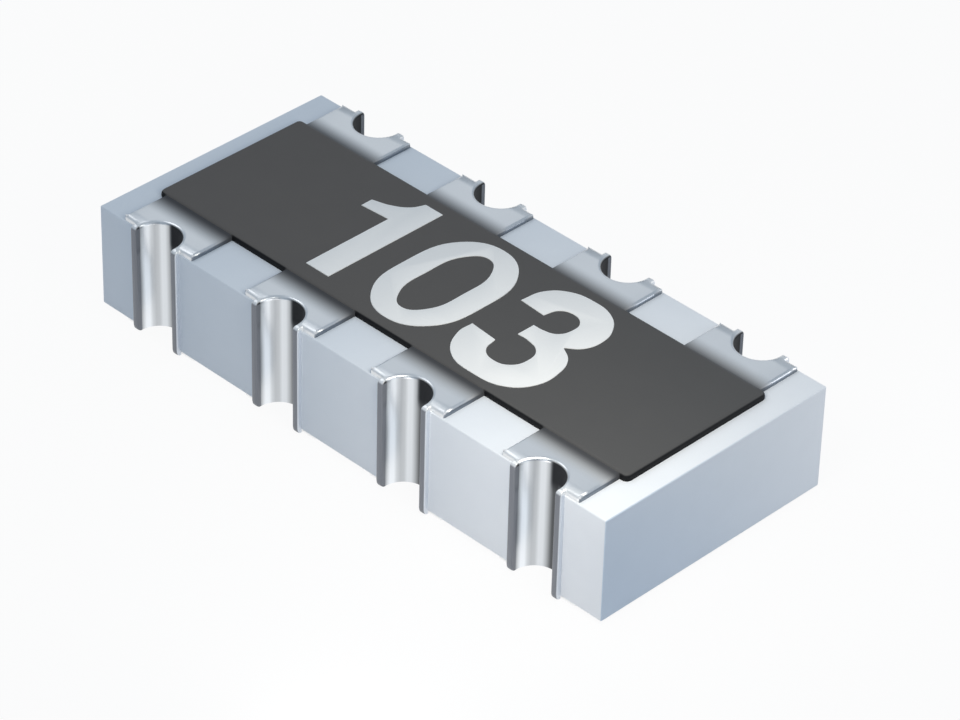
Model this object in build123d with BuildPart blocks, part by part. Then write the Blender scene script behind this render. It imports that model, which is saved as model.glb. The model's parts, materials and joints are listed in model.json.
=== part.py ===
from build123d import *
import math
import os

# Thick-film resistor network: four separate resistors on one alumina chip, each joined
# to a pair of concave terminals that face each other across the long sides.
#
# Millimetres. X runs along the chip, Y across it and Z up. The origin is at the middle
# of the footprint, on the plane that the solder lands rest on.
#
# A terminal is built up as a real one is: fired silver on the top, on the underside and
# down the notch between them, then nickel over all bare silver, then tin over the nickel.

# Alumina substrate
TERMINAL_PITCH = 1.27
ELEMENT_COUNT = 4
END_MARGIN = 0.615  # last notch's centre to the end face
SUBSTRATE_WIDTH = 2.18
SUBSTRATE_THICKNESS = 0.85
NOTCH_RADIUS = 0.223

# Fired silver
SILVER_THICKNESS = 0.024  # of the top lands and the notch linings
UNDERSIDE_SILVER_THICKNESS = 0.008
SILVER_RIM_STAND = 0.027  # lining left proud of the side face where the chip was snapped off
RIM_END_SLOPE = 1.4  # rise over depth where a rim's two ends fall back to the side face
LAND_SHOULDER = 0.121  # silver each side of the notch
LAND_MARGIN = 0.026  # bare ceramic that the print leaves along the side face
BOTTOM_LAND_LENGTH = 0.36  # inwards from the side face

# Plating, which grows evenly out of every bare silver face
NICKEL_THICKNESS = 0.006
TIN_THICKNESS = 0.010
TIN_EDGE_CHAMFER = 0.013  # stands for the roll that plating has at a corner

# Resistor film, from one electrode to the one across the chip
FILM_THICKNESS = 0.010
FILM_SIDE_INSET = 0.08  # electrode's side to the film's side
FILM_OVERLAP = 0.12  # film lying on each electrode

# Laser trim, an L-shaped cut that brings the resistor to its value
TRIM_KERF = 0.03
TRIM_DEPTH_SHARE = 0.40  # of the film's width
TRIM_RUN_LENGTH = 0.20  # along the film, on the first element
TRIM_EXTRA_LENGTH = 0.05  # more on the next ones, as each is trimmed by measurement

# Glass undercoat on each film
GLASS_THICKNESS = 0.010
GLASS_COVER = 0.03  # past the film's sides and ends

# Resin overcoat across all four elements
COAT_COVER = 0.010  # resin above the highest glass
COAT_END_MARGIN = 0.19  # from the end face
COAT_SIDE_MARGIN = 0.395  # from the side face
COAT_UNDERLAP = 0.095  # coat's side to the glass under it
COAT_EDGE_CHAMFER = 0.008

# Worked out from the sizes above
SUBSTRATE_LENGTH = (ELEMENT_COUNT - 1) * TERMINAL_PITCH + 2 * END_MARGIN
PLATING_GROWTH = NICKEL_THICKNESS + TIN_THICKNESS
SUBSTRATE_BOTTOM = UNDERSIDE_SILVER_THICKNESS + PLATING_GROWTH
SUBSTRATE_TOP = SUBSTRATE_BOTTOM + SUBSTRATE_THICKNESS
LINING_FOOT = -UNDERSIDE_SILVER_THICKNESS
LINING_HEAD = SUBSTRATE_THICKNESS + SILVER_THICKNESS
LAND_WIDTH = 2 * (NOTCH_RADIUS + LAND_SHOULDER)
FILM_WIDTH = LAND_WIDTH - 2 * FILM_SIDE_INSET
GLASS_WIDTH = FILM_WIDTH + 2 * GLASS_COVER
COAT_LENGTH = SUBSTRATE_LENGTH - 2 * COAT_END_MARGIN
COAT_WIDTH = SUBSTRATE_WIDTH - 2 * COAT_SIDE_MARGIN
COAT_THICKNESS = SILVER_THICKNESS + FILM_THICKNESS + GLASS_THICKNESS + COAT_COVER
GLASS_END = COAT_WIDTH / 2 - COAT_UNDERLAP
FILM_END = GLASS_END - GLASS_COVER
ELECTRODE_END = FILM_END - FILM_OVERLAP
TOP_LAND_REACH = SUBSTRATE_WIDTH / 2 - ELECTRODE_END

# The tin's chamfer stays on the tin, on the rim's face and on the foot of the lower land
RIM_FACE = SILVER_THICKNESS + 2 * PLATING_GROWTH
TIN_CHAMFER = min(TIN_EDGE_CHAMFER, 1.6 * TIN_THICKNESS, 0.45 * RIM_FACE, 0.8 * SUBSTRATE_BOTTOM)

os.makedirs("parts", exist_ok=True)


def keep(piece, name):
    """Labels one finished piece and writes its STEP file."""
    piece.part.label = name
    export_step(piece.part, f"parts/{name}.step")


def element_x(index):
    """X of an element's centre line, counted from the left end."""
    return (index - (ELEMENT_COUNT - 1) / 2) * TERMINAL_PITCH


def terminal_frame(number):
    """Frame of a terminal, numbered from 1 anticlockwise from the near left corner.

    Its origin is at the notch's centre, on the substrate's underside and side face, its
    X runs along the side face and its Y points into the chip. One terminal is built in
    such a frame at the origin and then placed in all of them.
    """
    near_side = number <= ELEMENT_COUNT
    index = number - 1 if near_side else 2 * ELEMENT_COUNT - number
    side = -1 if near_side else 1
    corner = (element_x(index), side * SUBSTRATE_WIDTH / 2, SUBSTRATE_BOTTOM)
    return Plane(origin=corner, x_dir=(-side, 0, 0), z_dir=(0, 0, 1))


def placed(piece, frame):
    """Copy of a terminal's piece in one terminal's frame."""
    with BuildPart() as copy:
        with Locations(frame):
            add(piece.part)
    return copy


def land_outline(reach, growth=0):
    """Land's rectangle, from the printed margin to its reach."""
    front = LAND_MARGIN - growth
    with BuildSketch() as outline:
        with Locations((0, (front + reach) / 2)):
            Rectangle(LAND_WIDTH + 2 * growth, reach - front)
    return outline.sketch


def rim_end_wedges(growth=0):
    """What is cut off a rim's two ends, so that they fall back to the side face.

    The slope keeps its angle and moves out with the plating, as all other faces do.
    """
    front = -SILVER_RIM_STAND - growth
    roll = (math.hypot(1, RIM_END_SLOPE) - 1) / RIM_END_SLOPE
    depth = SILVER_RIM_STAND + growth * (1 - roll)
    rise = depth * RIM_END_SLOPE
    with BuildPart() as wedges:
        with BuildSketch(Plane.YZ):
            for end, turn in ((LINING_FOOT - growth, 1), (LINING_HEAD + growth, -1)):
                with BuildLine():
                    Polyline(
                        (front, end), (front + depth, end), (front, end + turn * rise), close=True
                    )
                make_face()
        extrude(amount=NOTCH_RADIUS + growth, both=True)
    return wedges.part


def electrode(level, reach, thickness):
    """Flat silver land, cut back to the notch, from the printed margin to its reach."""
    with BuildPart() as land:
        with BuildSketch(Plane.XY.offset(level)):
            add(land_outline(reach))
            Circle(NOTCH_RADIUS, mode=Mode.SUBTRACT)
        extrude(amount=thickness)
    return land


def notch_lining():
    """Silver half-tube on the notch's wall, from one land's outer face to the other's."""
    bore_radius = NOTCH_RADIUS - SILVER_THICKNESS
    with BuildPart() as lining:
        with BuildSketch(Plane.XY.offset(LINING_FOOT)):
            with BuildLine():
                CenterArc((0, 0), NOTCH_RADIUS, 0, 180)
                CenterArc((0, 0), bore_radius, 0, 180)
                for side in (-1, 1):
                    Polyline(
                        (side * NOTCH_RADIUS, 0),
                        (side * NOTCH_RADIUS, -SILVER_RIM_STAND),
                        (side * bore_radius, -SILVER_RIM_STAND),
                        (side * bore_radius, 0),
                    )
            make_face()
        extrude(amount=LINING_HEAD - LINING_FOOT)
        add(rim_end_wedges(), mode=Mode.SUBTRACT)
    return lining


def plated_form(growth, edge_cut=0):
    """A terminal's outer form once plating has grown this far out of the silver.

    It is solid down to the ceramic, so each metal is what one form has beyond the last.
    """
    bore_radius = NOTCH_RADIUS - SILVER_THICKNESS - growth
    front = -SILVER_RIM_STAND - growth
    foot = LINING_FOOT - growth
    head = LINING_HEAD + growth
    with BuildPart() as form:
        # Column down the notch, with a rim standing proud of the side face
        with BuildSketch(Plane.XY.offset(foot)):
            with BuildLine():
                CenterArc((0, 0), NOTCH_RADIUS, 0, 180)
                Line((NOTCH_RADIUS, 0), (-NOTCH_RADIUS, 0))
            make_face()
            with Locations((0, front / 2)):
                Rectangle(2 * (NOTCH_RADIUS + growth), -front)
        extrude(amount=head - foot)
        add(rim_end_wedges(growth), mode=Mode.SUBTRACT)
        # Top land, up to the overcoat, and bottom land, each joined to the column's end
        for level, thickness, reach in (
            (SUBSTRATE_THICKNESS, SILVER_THICKNESS + growth, COAT_SIDE_MARGIN),
            (foot, -foot, BOTTOM_LAND_LENGTH + growth),
        ):
            with BuildSketch(Plane.XY.offset(level)):
                add(land_outline(reach, growth))
                with Locations((0, LAND_MARGIN / 2)):
                    Rectangle(2 * (NOTCH_RADIUS + growth), LAND_MARGIN)
            extrude(amount=thickness)
        # Open groove, from the notch's centre straight out
        with BuildSketch(Plane.XY.offset(foot)):
            Circle(bore_radius)
            with Locations((0, front)):
                Rectangle(2 * bore_radius, -2 * front)
        extrude(amount=head - foot, mode=Mode.SUBTRACT)
        if edge_cut:
            chamfer(form.edges().filter_by(Axis.Z).group_by(Axis.Y)[0], edge_cut)
            underside, *_, top = form.faces().sort_by(Axis.Z)
            land_edges = top.edges().sort_by(Axis.Y)[2:-1] + underside.edges().sort_by(Axis.Y)[2:]
            chamfer(land_edges, edge_cut)
    return form


def stepped_layer(x, width, end, thickness, base):
    """Printed layer that runs from one electrode down to the ceramic and up again.

    The base is the stack that it lies on, and a base of zero is the electrodes alone.
    """
    low = base + thickness
    high = SILVER_THICKNESS + low
    step = ELECTRODE_END - low
    with BuildPart() as layer:
        with BuildSketch(Plane.YZ.offset(x)):
            with BuildLine():
                Polyline(
                    (-end, SUBSTRATE_TOP),
                    (-end, SUBSTRATE_TOP + high),
                    (-step, SUBSTRATE_TOP + high),
                    (-step, SUBSTRATE_TOP + low),
                    (step, SUBSTRATE_TOP + low),
                    (step, SUBSTRATE_TOP + high),
                    (end, SUBSTRATE_TOP + high),
                    (end, SUBSTRATE_TOP),
                    close=True,
                )
            make_face()
        extrude(amount=width / 2, both=True)
    return layer


def trim_cut(index):
    """The laser's L-shaped path on one element, tall enough to pass every layer."""
    start = element_x(index) - GLASS_WIDTH / 2
    turn = element_x(index) - FILM_WIDTH / 2 + TRIM_DEPTH_SHARE * FILM_WIDTH
    run = TRIM_RUN_LENGTH + TRIM_EXTRA_LENGTH * (index % 3)
    with BuildPart() as cut:
        with BuildSketch(Plane.XY.offset(SUBSTRATE_TOP)):
            with BuildLine():
                Polyline(
                    (start, -run / 2),
                    (turn, -run / 2),
                    (turn, run / 2),
                    (turn - TRIM_KERF, run / 2),
                    (turn - TRIM_KERF, TRIM_KERF - run / 2),
                    (start, TRIM_KERF - run / 2),
                    close=True,
                )
            make_face()
        extrude(amount=COAT_THICKNESS)
    return cut


# Alumina substrate, with a half-round notch at each terminal
with BuildPart() as substrate:
    with BuildSketch(Plane.XY.offset(SUBSTRATE_BOTTOM)):
        Rectangle(SUBSTRATE_LENGTH, SUBSTRATE_WIDTH)
        with GridLocations(TERMINAL_PITCH, SUBSTRATE_WIDTH, ELEMENT_COUNT, 2):
            Circle(NOTCH_RADIUS, mode=Mode.SUBTRACT)
    extrude(amount=SUBSTRATE_THICKNESS)
keep(substrate, "ceramic_substrate")

# One terminal, in a frame of its own
top_land = electrode(SUBSTRATE_THICKNESS, TOP_LAND_REACH, SILVER_THICKNESS)
bottom_land = electrode(LINING_FOOT, BOTTOM_LAND_LENGTH, UNDERSIDE_SILVER_THICKNESS)
lining = notch_lining()
nickel_form = plated_form(NICKEL_THICKNESS)
tin_form = plated_form(PLATING_GROWTH, TIN_CHAMFER)
with BuildPart() as nickel:
    add(nickel_form.part)
    add(top_land.part, mode=Mode.SUBTRACT)
    add(bottom_land.part, mode=Mode.SUBTRACT)
    add(lining.part, mode=Mode.SUBTRACT)
with BuildPart() as tin:
    add(tin_form.part)
    add(nickel_form.part, mode=Mode.SUBTRACT)

# The terminal at each notch
electrodes = {}
for number in range(1, 2 * ELEMENT_COUNT + 1):
    frame = terminal_frame(number)
    electrodes[number] = placed(top_land, frame)
    keep(electrodes[number], f"top_electrode_{number}")
    keep(placed(bottom_land, frame), f"bottom_electrode_{number}")
    keep(placed(lining, frame), f"edge_conductor_{number}")
    keep(placed(nickel, frame), f"nickel_barrier_{number}")
    keep(placed(tin, frame), f"tin_termination_{number}")

# Resistor films and the glass on them, each cut by its own laser trim
layers = [land.part for land in electrodes.values()]
for index in range(ELEMENT_COUNT):
    x = element_x(index)
    cut = trim_cut(index)
    pair = [electrodes[index + 1].part, electrodes[2 * ELEMENT_COUNT - index].part]
    film_form = stepped_layer(x, FILM_WIDTH, FILM_END, FILM_THICKNESS, 0)
    glass_form = stepped_layer(x, GLASS_WIDTH, GLASS_END, GLASS_THICKNESS, FILM_THICKNESS)
    with BuildPart() as film:
        add(film_form.part)
        add(pair, mode=Mode.SUBTRACT)
        add(cut.part, mode=Mode.SUBTRACT)
    with BuildPart() as glass:
        add(glass_form.part)
        add(film_form.part, mode=Mode.SUBTRACT)
        add(pair, mode=Mode.SUBTRACT)
        add(cut.part, mode=Mode.SUBTRACT)
    layers += [film.part, glass.part]
    keep(film, f"resistor_film_{index + 1}")
    keep(glass, f"glass_undercoat_{index + 1}")

# Resin overcoat, which fills the trims and beds on everything under it
with BuildPart() as overcoat:
    with BuildSketch(Plane.XY.offset(SUBSTRATE_TOP)):
        Rectangle(COAT_LENGTH, COAT_WIDTH)
    extrude(amount=COAT_THICKNESS)
    chamfer(overcoat.faces().sort_by(Axis.Z)[-1].edges(), min(COAT_EDGE_CHAMFER, 0.8 * COAT_COVER))
    add(layers, mode=Mode.SUBTRACT)
keep(overcoat, "protective_overcoat")
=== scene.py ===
"""Looks of a thick-film resistor network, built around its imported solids.

The chip is a white alumina block with four concave tinned terminals along each long side
and a dark resin overcoat, which carries a plain three-digit value code. Shapes are made
in millimetres, in the frame of the solids, and turned into metres when a mesh is finished.
"""

import json
import logging
import math
from collections.abc import Iterable
from dataclasses import dataclass
from enum import Enum

import bmesh
import bpy
from bmesh.types import BMEdge, BMesh, BMFace, BMVert
from mathutils import Matrix, Vector


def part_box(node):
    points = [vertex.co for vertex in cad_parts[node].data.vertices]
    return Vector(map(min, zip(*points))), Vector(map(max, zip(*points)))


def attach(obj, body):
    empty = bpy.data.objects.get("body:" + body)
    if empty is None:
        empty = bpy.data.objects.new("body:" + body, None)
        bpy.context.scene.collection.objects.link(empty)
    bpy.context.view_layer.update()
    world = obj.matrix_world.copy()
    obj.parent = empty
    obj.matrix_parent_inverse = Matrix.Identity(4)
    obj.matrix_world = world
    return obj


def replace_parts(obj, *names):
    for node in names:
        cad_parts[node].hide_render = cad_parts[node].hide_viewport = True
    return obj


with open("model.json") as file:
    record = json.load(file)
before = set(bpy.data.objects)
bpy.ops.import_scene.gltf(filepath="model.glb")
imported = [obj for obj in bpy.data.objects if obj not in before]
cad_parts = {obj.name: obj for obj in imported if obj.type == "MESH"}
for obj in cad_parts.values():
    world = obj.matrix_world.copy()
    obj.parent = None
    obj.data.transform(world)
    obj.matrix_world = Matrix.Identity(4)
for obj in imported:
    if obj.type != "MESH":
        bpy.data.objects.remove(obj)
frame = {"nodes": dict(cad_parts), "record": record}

logging.basicConfig(level=logging.INFO, format="%(message)s")
log = logging.getLogger("resistor_network")

MM = 1.0e-3  # metres in a millimetre
TINY = 1.0e-4  # millimetres within which two places count as one
WELD = 1.0e-5  # millimetres within which vertices are joined
RIDGE = math.radians(30)  # least angle across an edge that is rounded
CREASE = math.radians(35)  # least angle across an edge that stays crisp in the shading
BODY = "root"
MIX_INPUTS = (0, 6, 7)  # the share and the two colours of a Mix node set to colours
MIX_OUTPUT = 2

Colour = tuple[float, float, float]
Band = tuple[float, float]  # where a mask is 0 and where it is 1


class Side(Enum):
    """Long side of the chip that a terminal is on, as the sign of its Y."""

    NEAR = -1
    FAR = 1


class Rays(Enum):
    """Kinds of ray that see the stage's white, as the Light Path node names them."""

    CAMERA = "Is Camera Ray"
    GLOSSY = "Is Glossy Ray"
    TRANSMISSION = "Is Transmission Ray"


class Socket(Enum):
    """Kinds of socket that a node group has, as Blender names them."""

    VALUE = "NodeSocketFloat"
    VECTOR = "NodeSocketVector"
    COLOUR = "NodeSocketColor"


class Blend(Enum):
    """How a second colour goes over a first one, as the Mix node names it."""

    COVER = "MIX"
    TINT = "MULTIPLY"


class Bend(Enum):
    """How an outline passes a point, as the curve's handles name it."""

    CORNER = "VECTOR"
    CURVE = "AUTO"


# Shader helpers


def opaque(colour: Colour) -> tuple[float, float, float, float]:
    """Returns a colour as the four values that a colour socket takes."""
    return (*colour, 1.0)


@dataclass
class NodeBoard:
    """A node tree under construction, with short calls for the nodes used here.

    Args:
        tree: The tree that the nodes go into.
    """

    tree: bpy.types.NodeTree

    def add(self, kind: str, **settings: object) -> bpy.types.Node:
        """Adds a node.

        Args:
            kind: The node's type name.
            settings: Its properties, by name.

        Returns:
            The new node.
        """
        node = self.tree.nodes.new(kind)
        for name, value in settings.items():
            setattr(node, name, value)
        return node

    def feed(self, socket: bpy.types.NodeSocket, value: object) -> None:
        """Links a socket's source, or sets its constant.

        Args:
            socket: The input socket.
            value: Another node's output, a number or a colour.
        """
        if isinstance(value, bpy.types.NodeSocket):
            self.tree.links.new(value, socket)
        else:
            socket.default_value = opaque(value) if isinstance(value, tuple) else value

    def math(self, operation: str, *values: object) -> bpy.types.NodeSocket:
        """Adds a Math node.

        Args:
            operation: What it does.
            values: What its inputs get, in order.

        Returns:
            Its output.
        """
        node = self.add("ShaderNodeMath", operation=operation)
        for socket, value in zip(node.inputs, values):
            self.feed(socket, value)
        return node.outputs[0]

    def times(self, product: object, *others: object) -> bpy.types.NodeSocket:
        """Multiplies values.

        Args:
            product: The first one.
            others: The others.

        Returns:
            Their product.
        """
        for other in others:
            product = self.math("MULTIPLY", product, other)
        return product

    def rest(self, share: object) -> bpy.types.NodeSocket:
        """Returns what a share leaves of 1."""
        return self.math("SUBTRACT", 1.0, share)

    def ramp(self, value: object, band: Band, base: float = 0.0) -> bpy.types.NodeSocket:
        """Adds a smooth step.

        Args:
            value: What it follows.
            band: Where it is 0 and where it is 1, from the base.
            base: A place on the chip.

        Returns:
            The step.
        """
        start, end = (base + place for place in band)
        node = self.add("ShaderNodeMapRange", interpolation_type="SMOOTHSTEP", clamp=True)
        for name, number in (
            ("From Min", min(start, end)),
            ("From Max", max(start, end)),
            ("To Min", float(start > end)),
            ("To Max", float(start < end)),
        ):
            node.inputs[name].default_value = number
        self.feed(node.inputs["Value"], value)
        return node.outputs["Result"]

    def mix(
        self, share: object, first: object, second: object, blend: Blend = Blend.COVER
    ) -> bpy.types.NodeSocket:
        """Lays a colour over another.

        Args:
            share: How far the second colour goes in.
            first: The colour below.
            second: The colour above.
            blend: Whether it covers or tints the one below.

        Returns:
            The colour that comes out.
        """
        node = self.add("ShaderNodeMix", data_type="RGBA", blend_type=blend.value)
        for index, value in zip(MIX_INPUTS, (share, first, second)):
            self.feed(node.inputs[index], value)
        return node.outputs[MIX_OUTPUT]

    def split(self, vector: bpy.types.NodeSocket) -> list[bpy.types.NodeSocket]:
        """Splits a place in metres.

        Args:
            vector: The place.

        Returns:
            Its X, Y and Z in millimetres.
        """
        node = self.add("ShaderNodeSeparateXYZ")
        self.feed(node.inputs[0], vector)
        return [self.math("DIVIDE", axis, MM) for axis in node.outputs]

    def noise(self, vector: object, scale: object, detail: float) -> bpy.types.NodeSocket:
        """Adds a Noise Texture.

        Args:
            vector: The place.
            scale: Its scale.
            detail: How many finer layers it has.

        Returns:
            Its value.
        """
        node = self.add("ShaderNodeTexNoise")
        for name, value in (("Vector", vector), ("Scale", scale), ("Detail", detail)):
            self.feed(node.inputs[name], value)
        return node.outputs[0]

    def group(self, tree: bpy.types.NodeTree, **values: object) -> bpy.types.Node:
        """Places a node group.

        Args:
            tree: The group.
            values: What its inputs get, by name.

        Returns:
            The group's node.
        """
        node = self.add("ShaderNodeGroup", node_tree=tree)
        for name, value in values.items():
            self.feed(node.inputs[name], value)
        return node

    def put_out(self, **values: object) -> None:
        """Feeds the outputs of a group under construction, by name."""
        for name, value in values.items():
            self.feed(self.tree.nodes["out"].inputs[name], value)


def new_group(name: str, inputs: dict[str, Socket], outputs: dict[str, Socket]) -> NodeBoard:
    """Starts a shader node group.

    Args:
        name: The group's name.
        inputs: Kind of socket by input name.
        outputs: Kind of socket by output name.

    Returns:
        The board of the group, with its two end nodes in place.
    """
    tree = bpy.data.node_groups.new(name, "ShaderNodeTree")
    for way, sockets in (("INPUT", inputs), ("OUTPUT", outputs)):
        for label, kind in sockets.items():
            tree.interface.new_socket(label, in_out=way, socket_type=kind.value)
    board = NodeBoard(tree)
    board.add("NodeGroupInput", name="in")
    board.add("NodeGroupOutput", name="out")
    return board


@dataclass(frozen=True)
class ChipLayout:
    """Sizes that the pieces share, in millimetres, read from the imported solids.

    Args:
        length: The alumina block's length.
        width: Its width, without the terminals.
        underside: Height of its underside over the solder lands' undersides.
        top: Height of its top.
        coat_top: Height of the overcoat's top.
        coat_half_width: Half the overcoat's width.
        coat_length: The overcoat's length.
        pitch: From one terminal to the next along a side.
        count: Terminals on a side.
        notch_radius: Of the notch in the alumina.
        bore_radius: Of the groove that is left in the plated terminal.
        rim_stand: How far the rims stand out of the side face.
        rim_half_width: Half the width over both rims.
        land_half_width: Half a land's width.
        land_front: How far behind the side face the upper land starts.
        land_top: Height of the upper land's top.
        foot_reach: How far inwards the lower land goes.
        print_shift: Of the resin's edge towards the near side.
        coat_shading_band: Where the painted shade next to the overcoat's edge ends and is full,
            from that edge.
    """

    length: float
    width: float
    underside: float
    top: float
    coat_top: float
    coat_half_width: float
    coat_length: float
    pitch: float
    count: int
    notch_radius: float
    bore_radius: float
    rim_stand: float
    rim_half_width: float
    land_half_width: float
    land_front: float
    land_top: float
    foot_reach: float
    print_shift: float = 0.028
    coat_shading_band: Band = (-0.18, 0.02)

    @classmethod
    def read(cls) -> "ChipLayout":
        """Measures the solids.

        Returns:
            The layout.
        """
        chip_low, chip_high = (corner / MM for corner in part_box("ceramic_substrate"))
        coat_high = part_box("protective_overcoat")[1] / MM
        tin_low, tin_high = (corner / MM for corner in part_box("tin_termination_1"))
        next_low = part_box("tin_termination_2")[0] / MM
        lining_low, lining_high = (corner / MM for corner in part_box("edge_conductor_1"))
        land_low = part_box("top_electrode_1")[0] / MM
        foot_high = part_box("bottom_electrode_1")[1] / MM
        growth = tin_high.z - lining_high.z
        notch_radius = (lining_high.x - lining_low.x) / 2
        silver = lining_high.z - chip_high.z
        return cls(
            length=chip_high.x - chip_low.x,
            width=chip_high.y - chip_low.y,
            underside=chip_low.z,
            top=chip_high.z,
            coat_top=coat_high.z,
            coat_half_width=coat_high.y,
            coat_length=2 * coat_high.x,
            pitch=next_low.x - tin_low.x,
            count=sum(name.startswith("tin_termination") for name in frame["nodes"]) // 2,
            notch_radius=notch_radius,
            bore_radius=notch_radius - silver - growth,
            rim_stand=chip_low.y - tin_low.y,
            rim_half_width=notch_radius + growth,
            land_half_width=(tin_high.x - tin_low.x) / 2,
            land_front=land_low.y - chip_low.y - growth,
            land_top=tin_high.z,
            foot_reach=foot_high.y - chip_low.y + growth,
        )

    def place(self, number: int) -> Matrix:
        """Returns the place of a terminal's own frame in the chip, in millimetres.

        Args:
            number: The terminal, from 1 anticlockwise from the near left corner.

        Returns:
            The matrix, whose X runs along the side face and Y points into the chip.
        """
        side = Side.NEAR if number <= self.count else Side.FAR
        index = number - 1 if side is Side.NEAR else 2 * self.count - number
        x = (index - (self.count - 1) / 2) * self.pitch
        shift = Matrix.Translation((x, side.value * self.width / 2, 0.0))
        return shift @ Matrix.Rotation(0.0 if side is Side.NEAR else math.pi, 4, "Z")


def grain_group(broad: float = 0.06) -> bpy.types.NodeTree:
    """Builds the group for a fine, slightly uneven surface.

    Args:
        broad: Scale of the broad unevenness, as a share of the grain's.

    Returns:
        A group from Vector, Scale, Colour and Spread to Colour and Height.
    """
    inputs = {
        "Vector": Socket.VECTOR,
        "Scale": Socket.VALUE,
        "Colour": Socket.COLOUR,
        "Spread": Socket.VALUE,
    }
    board = new_group("fine_grain", inputs, {"Colour": Socket.COLOUR, "Height": Socket.VALUE})
    vector, scale, colour, spread = board.tree.nodes["in"].outputs[:4]
    fine = board.noise(vector, scale, 3.0)
    wide = board.noise(vector, board.times(scale, broad), 1.0)
    swing = board.times(board.math("SUBTRACT", board.math("ADD", fine, wide), 1.0), spread)
    shade = board.add("ShaderNodeVectorMath", operation="SCALE")
    board.feed(shade.inputs[0], colour)
    board.feed(shade.inputs["Scale"], board.math("ADD", swing, 1.0))
    board.put_out(Colour=shade.outputs[0], Height=fine)
    return board.tree


def terminal_group(chip: ChipLayout) -> bpy.types.NodeTree:
    """Builds the group that says where on its terminal a point lies.

    Args:
        chip: The shared sizes.

    Returns:
        A group from Vector, in metres, to Across, Inward, Height and Reach in
        millimetres, Turn, the angle round the notch in half turns, and Cover, the
        share of painted shade next to the overcoat's edge.
    """
    told = ("Across", "Inward", "Height", "Reach", "Turn", "Cover")
    board = new_group(
        "terminal_place", {"Vector": Socket.VECTOR}, dict.fromkeys(told, Socket.VALUE)
    )
    x, y, z = board.split(board.tree.nodes["in"].outputs["Vector"])
    steps = board.math("ADD", board.math("DIVIDE", x, chip.pitch), chip.count / 2)
    within = board.math("SUBTRACT", board.math("FRACT", steps), 0.5)
    side = board.math("SIGN", y)
    across = board.times(within, -chip.pitch, side)
    inward = board.math("SUBTRACT", chip.width / 2, board.math("ABSOLUTE", y))
    square = board.math(
        "ADD", board.math("POWER", across, 2.0), board.math("POWER", inward, 2.0)
    )
    from_print = board.math("SUBTRACT", inward, board.times(side, chip.print_shift))
    board.put_out(
        Across=across,
        Inward=inward,
        Height=z,
        Reach=board.math("SQRT", square),
        Turn=board.math("DIVIDE", board.math("ARCTAN2", inward, across), math.pi),
        # Painted shade next to the overcoat's edge, as a share that fades out over the lands.
        Cover=board.ramp(from_print, chip.coat_shading_band, chip.width / 2 - chip.coat_half_width),
    )
    return board.tree


@dataclass(frozen=True)
class Groups:
    """Node groups that the finishes share.

    Args:
        grain: The fine_grain group.
        terminal: The terminal_place group.
    """

    grain: bpy.types.NodeTree
    terminal: bpy.types.NodeTree


@dataclass
class Surface:
    """A material under construction.

    Args:
        material: The material.
        board: Its board.
        grained: Its colour, with the grain in it.
        place: The point's place in the object, in metres.
        grain: The grain's height.
        relief: The bump's height.
    """

    material: bpy.types.Material
    board: NodeBoard
    grained: bpy.types.NodeSocket
    place: bpy.types.NodeSocket
    grain: bpy.types.NodeSocket
    relief: bpy.types.NodeSocket

    def dress(self, name: str, value: object) -> None:
        """Feeds an input of the Principled shader, by name."""
        self.board.feed(self.material.node_tree.nodes["Principled BSDF"].inputs[name], value)


@dataclass(frozen=True)
class Finish:
    """A plain surface with fine grain, which the other finishes build on.

    Args:
        name: The material's name.
        colour: Its base colour.
        slot: The record's material slot.
        roughness: Of the shader.
        metallic: 1 for a metal.
        grain: Grains in a millimetre.
        spread: Share that the colour varies by.
        relief: Height of the grain in millimetres.
        specular: Strength of a surface reflection, 0.5 being usual.
        painted_falloff: Painted light and shade along the length: a tint that is full at the left
            end and fades out towards the right end.
        half: Half the length that the painted falloff takes, in millimetres.
    """

    name: str
    colour: Colour
    slot: str
    roughness: float = 0.5
    metallic: float = 0.0
    grain: float = 60.0
    spread: float = 0.04
    relief: float = 0.0004
    specular: float = 0.5
    painted_falloff: Colour | None = None
    half: float = 2.5

    def start(self, groups: Groups) -> Surface:
        """Makes the material with its shader, grain and bump.

        Args:
            groups: The shared node groups.

        Returns:
            The surface, to be finished.
        """
        material = bpy.data.materials.new(self.name)
        material.use_nodes = True
        material.diffuse_color = opaque(self.colour)
        board = NodeBoard(material.node_tree)
        place = board.add("ShaderNodeTexCoord").outputs["Object"]
        texture = board.group(
            groups.grain,
            Vector=place,
            Scale=self.grain / MM,
            Colour=self.colour,
            Spread=self.spread,
        )
        grained, grain = texture.outputs["Colour"], texture.outputs["Height"]
        # Painted light and shade: a tint along X that stands in for the lamps' falloff along the
        # chip.
        if self.painted_falloff:
            share = board.ramp(board.split(place)[0], (self.half, -self.half))
            grained = board.mix(share, grained, self.painted_falloff, Blend.TINT)
        bump = board.add("ShaderNodeBump")
        for name, value in (("Strength", 1.0), ("Distance", self.relief * MM), ("Height", grain)):
            board.feed(bump.inputs[name], value)
        surface = Surface(material, board, grained, place, grain, bump.inputs["Height"])
        for name, value in (
            ("Base Color", grained),
            ("Roughness", self.roughness),
            ("Metallic", self.metallic),
            ("Specular IOR Level", self.specular),
            ("Normal", bump.outputs["Normal"]),
        ):
            surface.dress(name, value)
        return surface

    def build(self, groups: Groups) -> bpy.types.Material:
        """Makes the finished material.

        Args:
            groups: The shared node groups.

        Returns:
            The material.
        """
        return self.start(groups).material


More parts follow.
